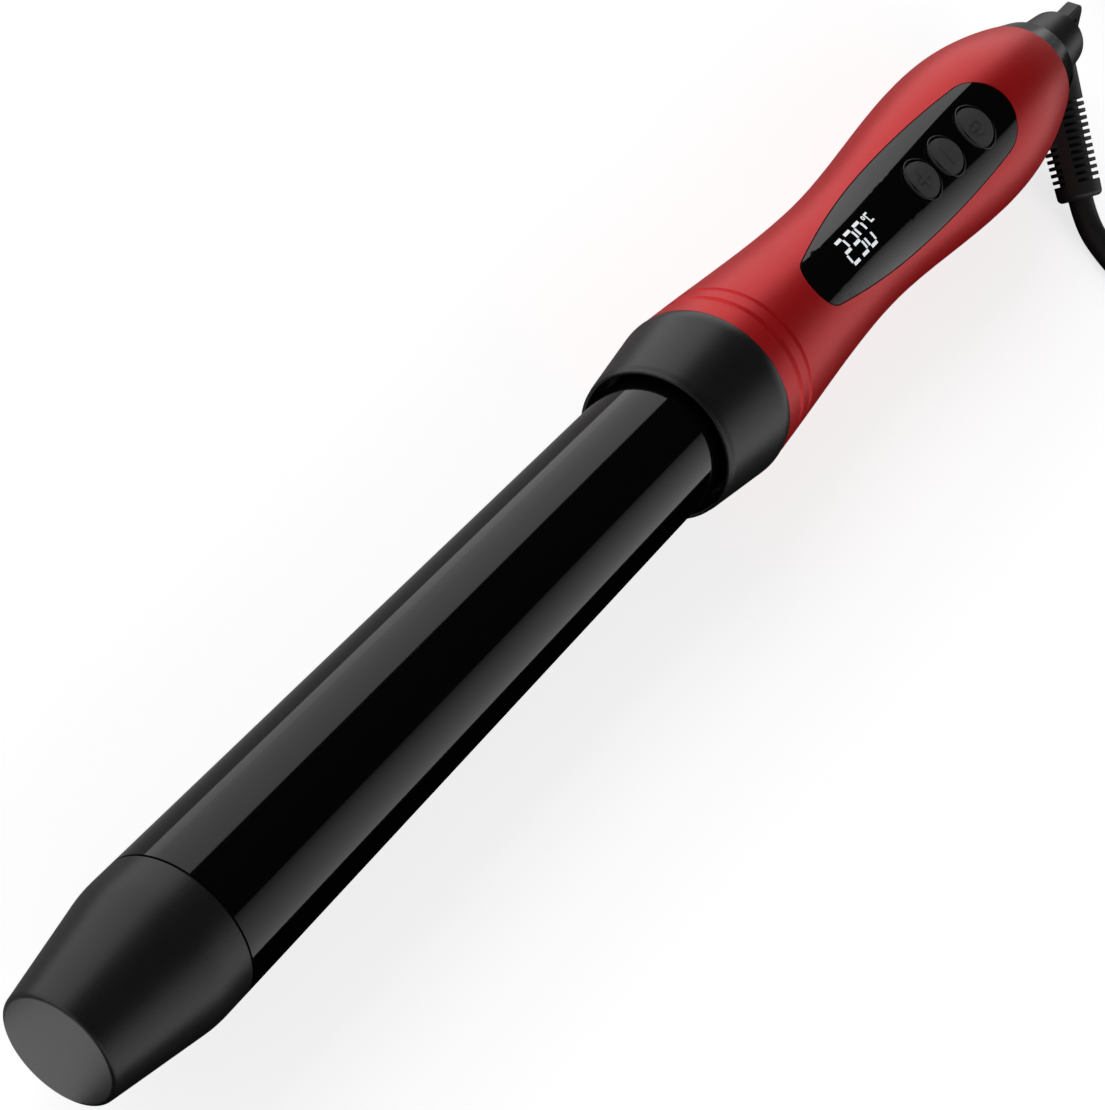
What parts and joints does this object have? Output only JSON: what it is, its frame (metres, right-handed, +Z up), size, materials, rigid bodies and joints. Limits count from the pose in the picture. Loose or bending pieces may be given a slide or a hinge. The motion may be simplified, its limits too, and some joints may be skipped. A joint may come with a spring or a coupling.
{
  "type": "curling wand",
  "caption": "Curling wand with a plain round heated barrel, cool tip, waisted grip with a temperature readout and press buttons, and a swivelling cord with a mains plug.",
  "frame": {"origin": "on the surface that the wand lies on, under the middle of the wand's length, from the tip to the hang loop's end", "axes": "+X along the barrel and handle, from the cool tip to the hang loop; +Z up, the way the control panel faces; +Y to the side away from the cord"},
  "size_m": [0.5977, 0.1234, 0.0437],
  "materials": {
    "soft_touch_red": "soft-touch rubberised paint, satin",
    "charcoal": "fine matte moulded plastic",
    "black_gloss": "polished black plastic",
    "black_coating": "glossy black ceramic coating on an aluminium tube",
    "aluminium": "bare extruded aluminium",
    "ceramic": "unglazed grey-buff ceramic",
    "film": "amber insulating film",
    "brass": "bare brass",
    "nickel": "nickel-plated brass",
    "steel": "zinc-plated steel",
    "heatproof_plastic": "glass-filled heat-proof plastic",
    "button_grey": "matte grey plastic",
    "readout_white": "lit white segments",
    "board_green": "solder-masked board",
    "component_black": "moulded component body",
    "capacitor_yellow": "film capacitor case",
    "bearing_white": "natural acetal",
    "lead_insulation": "silicone wire insulation",
    "black_rubber": "satin black rubber",
    "strap_black": "woven hook-and-loop strap"
  },
  "bodies": {
    "wand": {"tip_cap": "charcoal", "tip_insulator": "heatproof_plastic", "barrel_tube": "black_coating", "heat_spreader_upper": "aluminium", "electrode_upper": "brass", "insulating_film_upper": "film", "heat_spreader_lower": "aluminium", "electrode_lower": "brass", "insulating_film_lower": "film", "heating_plate_1": "ceramic", "heating_plate_2": "ceramic", "heating_plate_3": "ceramic", "heating_plate_4": "ceramic", "temperature_sensor": "ceramic", "thermal_fuse": "steel", "barrel_seat": "heatproof_plastic", "collar": "charcoal", "handle_top_shell": "soft_touch_red", "handle_bottom_shell": "soft_touch_red", "handle_screws": "steel", "control_panel": "black_gloss", "readout_segments": "readout_white", "switch_plus": "component_black", "switch_minus": "component_black", "switch_power": "component_black", "circuit_board": "board_green", "display_module": "component_black", "control_chip": "component_black", "filter_capacitor": "capacitor_yellow", "power_triac": "component_black", "buzzer": "component_black", "board_screws": "steel", "heater_lead_1": "lead_insulation", "heater_lead_2": "lead_insulation", "sensor_lead": "lead_insulation", "supply_lead_1": "lead_insulation", "supply_lead_2": "lead_insulation", "rear_ring": "black_gloss", "swivel_bearing": "bearing_white", "brush_front": "brass", "brush_rear": "brass", "brush_block": "bearing_white"},
    "button_plus": {"button_plus": "button_grey"},
    "button_minus": {"button_minus": "button_grey"},
    "button_power": {"button_power": "button_grey"},
    "swivel": {"swivel_head": "charcoal", "retaining_clip": "steel", "slip_ring_front": "brass", "slip_ring_rear": "brass", "cord_boot": "black_rubber", "cord": "black_rubber", "cord_coil": "black_rubber", "cord_tail": "black_rubber", "coil_tie": "strap_black", "plug_body": "black_rubber", "plug_pin_1": "nickel", "plug_pin_2": "nickel"}
  },
  "joints": [
    {"name": "press_plus", "type": "slide", "parent": "wand", "child": "button_plus", "axis": [0, 0, -1], "range_m": [0, 0.0006], "stiffness_N_per_m": 1500},
    {"name": "press_minus", "type": "slide", "parent": "wand", "child": "button_minus", "axis": [0, 0, -1], "range_m": [0, 0.0006], "stiffness_N_per_m": 1500},
    {"name": "press_power", "type": "slide", "parent": "wand", "child": "button_power", "axis": [0, 0, -1], "range_m": [0, 0.0006], "stiffness_N_per_m": 1500},
    {"name": "cord_swivel", "type": "hinge", "parent": "wand", "child": "swivel", "pos_m": [0.19182, 0, 0.02184], "axis": [1, 0, 0], "continuous": true}
  ]
}
